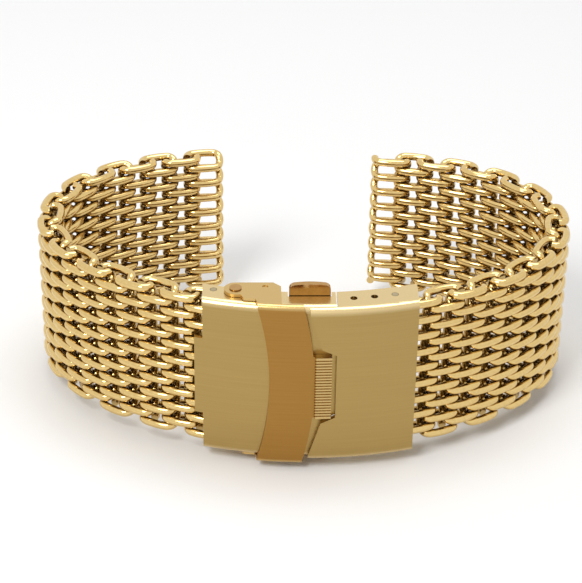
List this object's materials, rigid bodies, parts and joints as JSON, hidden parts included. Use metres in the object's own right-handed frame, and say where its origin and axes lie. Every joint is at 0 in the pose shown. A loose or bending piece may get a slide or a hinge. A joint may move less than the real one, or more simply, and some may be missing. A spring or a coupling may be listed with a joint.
{
  "type": "mesh watch bracelet",
  "caption": "Coarse wire mesh watch bracelet closed by a curved fold-over clasp with a flip lock and push buttons, standing on edge with its free ends apart.",
  "frame": {"origin": "centre of the bracelet's bounding box at the surface it stands on", "axes": "+Z across the strap's width, -Y out of the clasp's face, +X towards the half that hangs on the clasp cover"},
  "size_m": [0.0744, 0.0484, 0.0268],
  "materials": {
    "mesh_wire": "polished gold",
    "clasp_sheet": "fine brushed gold with polished edges",
    "lock_sheet": "brushed gold",
    "clasp_trim": "polished gold",
    "blades": "satin gold",
    "pins": "bright steel"
  },
  "bodies": {
    "clasp_base": {"end_cap": "clasp_sheet", "long_blade": "blades", "lock_rivets": "clasp_trim", "cap_spring_bar": "pins"},
    "lock": {"flip_lock": "lock_sheet"},
    "folding_arm": {"short_blade": "blades", "blade_hinge_pin": "pins"},
    "cover": {"clasp_cover": "clasp_sheet", "cover_hinge_pins": "pins", "cover_spring_bar": "pins"},
    "button_up": {"push_button_upper": "clasp_trim"},
    "button_down": {"push_button_lower": "clasp_trim"},
    "right_01": {"right_spiral_01": "mesh_wire"},
    "right_02": {"right_spiral_02": "mesh_wire"},
    "right_03": {"right_spiral_03": "mesh_wire"},
    "right_04": {"right_spiral_04": "mesh_wire"},
    "right_05": {"right_spiral_05": "mesh_wire"},
    "right_06": {"right_spiral_06": "mesh_wire"},
    "right_07": {"right_spiral_07": "mesh_wire"},
    "right_08": {"right_spiral_08": "mesh_wire"},
    "right_09": {"right_spiral_09": "mesh_wire"},
    "right_10": {"right_spiral_10": "mesh_wire"},
    "right_11": {"right_spiral_11": "mesh_wire"},
    "right_12": {"right_spiral_12": "mesh_wire"},
    "right_13": {"right_spiral_13": "mesh_wire"},
    "right_14": {"right_spiral_14": "mesh_wire"},
    "right_15": {"right_spiral_15": "mesh_wire"},
    "right_16": {"right_spiral_16": "mesh_wire"},
    "right_17": {"right_spiral_17": "mesh_wire"},
    "right_18": {"right_spiral_18": "mesh_wire"},
    "right_19": {"right_spiral_19": "mesh_wire"},
    "right_20": {"right_spiral_20": "mesh_wire"},
    "right_21": {"right_spiral_21": "mesh_wire"},
    "left_01": {"left_spiral_01": "mesh_wire"},
    "left_02": {"left_spiral_02": "mesh_wire"},
    "left_03": {"left_spiral_03": "mesh_wire"},
    "left_04": {"left_spiral_04": "mesh_wire"},
    "left_05": {"left_spiral_05": "mesh_wire"},
    "left_06": {"left_spiral_06": "mesh_wire"},
    "left_07": {"left_spiral_07": "mesh_wire"},
    "left_08": {"left_spiral_08": "mesh_wire"},
    "left_09": {"left_spiral_09": "mesh_wire"},
    "left_10": {"left_spiral_10": "mesh_wire"},
    "left_11": {"left_spiral_11": "mesh_wire"},
    "left_12": {"left_spiral_12": "mesh_wire"},
    "left_13": {"left_spiral_13": "mesh_wire"},
    "left_14": {"left_spiral_14": "mesh_wire"},
    "left_15": {"left_spiral_15": "mesh_wire"},
    "left_16": {"left_spiral_16": "mesh_wire"},
    "left_17": {"left_spiral_17": "mesh_wire"},
    "left_18": {"left_spiral_18": "mesh_wire"},
    "left_19": {"left_spiral_19": "mesh_wire"},
    "left_20": {"left_spiral_20": "mesh_wire"}
  },
  "joints": [
    {"name": "lock_flip", "type": "hinge", "parent": "clasp_base", "child": "lock", "pos_m": [-0.00963, -0.01923, 0.0134], "axis": [0, 0, -1], "range_deg": [0, 90]},
    {"name": "blade_fold", "type": "hinge", "parent": "clasp_base", "child": "folding_arm", "pos_m": [0.01127, -0.0167, 0.0134], "axis": [0, 0, 1], "range_deg": [0, 160]},
    {"name": "cover_fold", "type": "hinge", "parent": "folding_arm", "child": "cover", "pos_m": [0.00227, -0.01864, 0.0134], "axis": [0, 0, 1], "range_deg": [-160, 0]},
    {"name": "button_up_press", "type": "slide", "parent": "clasp_base", "child": "button_up", "axis": [0, 0, -1], "range_m": [0, 0.0006], "stiffness_N_per_m": 1500},
    {"name": "button_down_press", "type": "slide", "parent": "clasp_base", "child": "button_down", "axis": [0, 0, 1], "range_m": [0, 0.0006], "stiffness_N_per_m": 1500},
    {"name": "right_turn_01", "type": "hinge", "parent": "cover", "child": "right_01", "pos_m": [0.01102, -0.01996, 0.0134], "axis": [0, 0, 1], "range_deg": [-2, 2]},
    {"name": "right_turn_02", "type": "hinge", "parent": "right_01", "child": "right_02", "pos_m": [0.01294, -0.01948, 0.0134], "axis": [0, 0, 1], "range_deg": [-6, 12]},
    {"name": "right_turn_03", "type": "hinge", "parent": "right_02", "child": "right_03", "pos_m": [0.01613, -0.01845, 0.0134], "axis": [0, 0, -1], "range_deg": [-15, 24]},
    {"name": "right_turn_04", "type": "hinge", "parent": "right_03", "child": "right_04", "pos_m": [0.01923, -0.01719, 0.0134], "axis": [0, 0, 1], "range_deg": [-24, 15]},
    {"name": "right_turn_05", "type": "hinge", "parent": "right_04", "child": "right_05", "pos_m": [0.02223, -0.0157, 0.0134], "axis": [0, 0, -1], "range_deg": [-15, 24]},
    {"name": "right_turn_06", "type": "hinge", "parent": "right_05", "child": "right_06", "pos_m": [0.02509, -0.01396, 0.0134], "axis": [0, 0, 1], "range_deg": [-25, 14]},
    {"name": "right_turn_07", "type": "hinge", "parent": "right_06", "child": "right_07", "pos_m": [0.02777, -0.01195, 0.0134], "axis": [0, 0, -1], "range_deg": [-13, 26]},
    {"name": "right_turn_08", "type": "hinge", "parent": "right_07", "child": "right_08", "pos_m": [0.0302, -0.00963, 0.0134], "axis": [0, 0, 1], "range_deg": [-27, 12]},
    {"name": "right_turn_09", "type": "hinge", "parent": "right_08", "child": "right_09", "pos_m": [0.03228, -0.00701, 0.0134], "axis": [0, 0, -1], "range_deg": [-10, 29]},
    {"name": "right_turn_10", "type": "hinge", "parent": "right_09", "child": "right_10", "pos_m": [0.03391, -0.00408, 0.0134], "axis": [0, 0, 1], "range_deg": [-30, 9]},
    {"name": "right_turn_11", "type": "hinge", "parent": "right_10", "child": "right_11", "pos_m": [0.03498, -0.00091, 0.0134], "axis": [0, 0, -1], "range_deg": [-8, 31]},
    {"name": "right_turn_12", "type": "hinge", "parent": "right_11", "child": "right_12", "pos_m": [0.0354, 0.00241, 0.0134], "axis": [0, 0, 1], "range_deg": [-32, 7]},
    {"name": "right_turn_13", "type": "hinge", "parent": "right_12", "child": "right_13", "pos_m": [0.0351, 0.00575, 0.0134], "axis": [0, 0, -1], "range_deg": [-7, 32]},
    {"name": "right_turn_14", "type": "hinge", "parent": "right_13", "child": "right_14", "pos_m": [0.0341, 0.00895, 0.0134], "axis": [0, 0, 1], "range_deg": [-32, 7]},
    {"name": "right_turn_15", "type": "hinge", "parent": "right_14", "child": "right_15", "pos_m": [0.03245, 0.01186, 0.0134], "axis": [0, 0, -1], "range_deg": [-8, 31]},
    {"name": "right_turn_16", "type": "hinge", "parent": "right_15", "child": "right_16", "pos_m": [0.03025, 0.01439, 0.0134], "axis": [0, 0, 1], "range_deg": [-30, 9]},
    {"name": "right_turn_17", "type": "hinge", "parent": "right_16", "child": "right_17", "pos_m": [0.02764, 0.01649, 0.0134], "axis": [0, 0, -1], "range_deg": [-11, 28]},
    {"name": "right_turn_18", "type": "hinge", "parent": "right_17", "child": "right_18", "pos_m": [0.02474, 0.01817, 0.0134], "axis": [0, 0, 1], "range_deg": [-27, 12]},
    {"name": "right_turn_19", "type": "hinge", "parent": "right_18", "child": "right_19", "pos_m": [0.02166, 0.01948, 0.0134], "axis": [0, 0, -1], "range_deg": [-14, 25]},
    {"name": "right_turn_20", "type": "hinge", "parent": "right_19", "child": "right_20", "pos_m": [0.01845, 0.02046, 0.0134], "axis": [0, 0, 1], "range_deg": [-24, 15]},
    {"name": "right_turn_21", "type": "hinge", "parent": "right_20", "child": "right_21", "pos_m": [0.01518, 0.02116, 0.0134], "axis": [0, 0, -1], "range_deg": [-15, 24]},
    {"name": "left_turn_01", "type": "hinge", "parent": "clasp_base", "child": "left_01", "pos_m": [-0.01248, -0.01865, 0.0134], "axis": [0, 0, 1], "range_deg": [-2, 2]},
    {"name": "left_turn_02", "type": "hinge", "parent": "left_01", "child": "left_02", "pos_m": [-0.01523, -0.01778, 0.0134], "axis": [0, 0, -1], "range_deg": [-6, 12]},
    {"name": "left_turn_03", "type": "hinge", "parent": "left_02", "child": "left_03", "pos_m": [-0.01834, -0.01653, 0.0134], "axis": [0, 0, 1], "range_deg": [-15, 24]},
    {"name": "left_turn_04", "type": "hinge", "parent": "left_03", "child": "left_04", "pos_m": [-0.02134, -0.01505, 0.0134], "axis": [0, 0, -1], "range_deg": [-24, 15]},
    {"name": "left_turn_05", "type": "hinge", "parent": "left_04", "child": "left_05", "pos_m": [-0.02422, -0.01334, 0.0134], "axis": [0, 0, 1], "range_deg": [-14, 25]},
    {"name": "left_turn_06", "type": "hinge", "parent": "left_05", "child": "left_06", "pos_m": [-0.02694, -0.01138, 0.0134], "axis": [0, 0, -1], "range_deg": [-25, 14]},
    {"name": "left_turn_07", "type": "hinge", "parent": "left_06", "child": "left_07", "pos_m": [-0.02944, -0.00914, 0.0134], "axis": [0, 0, 1], "range_deg": [-12, 27]},
    {"name": "left_turn_08", "type": "hinge", "parent": "left_07", "child": "left_08", "pos_m": [-0.03163, -0.00662, 0.0134], "axis": [0, 0, -1], "range_deg": [-28, 11]},
    {"name": "left_turn_09", "type": "hinge", "parent": "left_08", "child": "left_09", "pos_m": [-0.03343, -0.00379, 0.0134], "axis": [0, 0, 1], "range_deg": [-10, 29]},
    {"name": "left_turn_10", "type": "hinge", "parent": "left_09", "child": "left_10", "pos_m": [-0.03471, -0.00069, 0.0134], "axis": [0, 0, -1], "range_deg": [-31, 8]},
    {"name": "left_turn_11", "type": "hinge", "parent": "left_10", "child": "left_11", "pos_m": [-0.03536, 0.0026, 0.0134], "axis": [0, 0, 1], "range_deg": [-7, 32]},
    {"name": "left_turn_12", "type": "hinge", "parent": "left_11", "child": "left_12", "pos_m": [-0.0353, 0.00594, 0.0134], "axis": [0, 0, -1], "range_deg": [-32, 7]},
    {"name": "left_turn_13", "type": "hinge", "parent": "left_12", "child": "left_13", "pos_m": [-0.0345, 0.0092, 0.0134], "axis": [0, 0, 1], "range_deg": [-7, 32]},
    {"name": "left_turn_14", "type": "hinge", "parent": "left_13", "child": "left_14", "pos_m": [-0.03301, 0.0122, 0.0134], "axis": [0, 0, -1], "range_deg": [-32, 7]},
    {"name": "left_turn_15", "type": "hinge", "parent": "left_14", "child": "left_15", "pos_m": [-0.03093, 0.01482, 0.0134], "axis": [0, 0, 1], "range_deg": [-9, 30]},
    {"name": "left_turn_16", "type": "hinge", "parent": "left_15", "child": "left_16", "pos_m": [-0.02839, 0.01701, 0.0134], "axis": [0, 0, -1], "range_deg": [-29, 10]},
    {"name": "left_turn_17", "type": "hinge", "parent": "left_16", "child": "left_17", "pos_m": [-0.02553, 0.01875, 0.0134], "axis": [0, 0, 1], "range_deg": [-12, 27]},
    {"name": "left_turn_18", "type": "hinge", "parent": "left_17", "child": "left_18", "pos_m": [-0.02245, 0.02009, 0.0134], "axis": [0, 0, -1], "range_deg": [-26, 13]},
    {"name": "left_turn_19", "type": "hinge", "parent": "left_18", "child": "left_19", "pos_m": [-0.01926, 0.02108, 0.0134], "axis": [0, 0, 1], "range_deg": [-14, 25]},
    {"name": "left_turn_20", "type": "hinge", "parent": "left_19", "child": "left_20", "pos_m": [-0.01598, 0.0218, 0.0134], "axis": [0, 0, -1], "range_deg": [-24, 15]}
  ],
  "couplings": [
    {"joint": "cover_fold", "follows": "blade_fold", "ratio": -1}
  ]
}
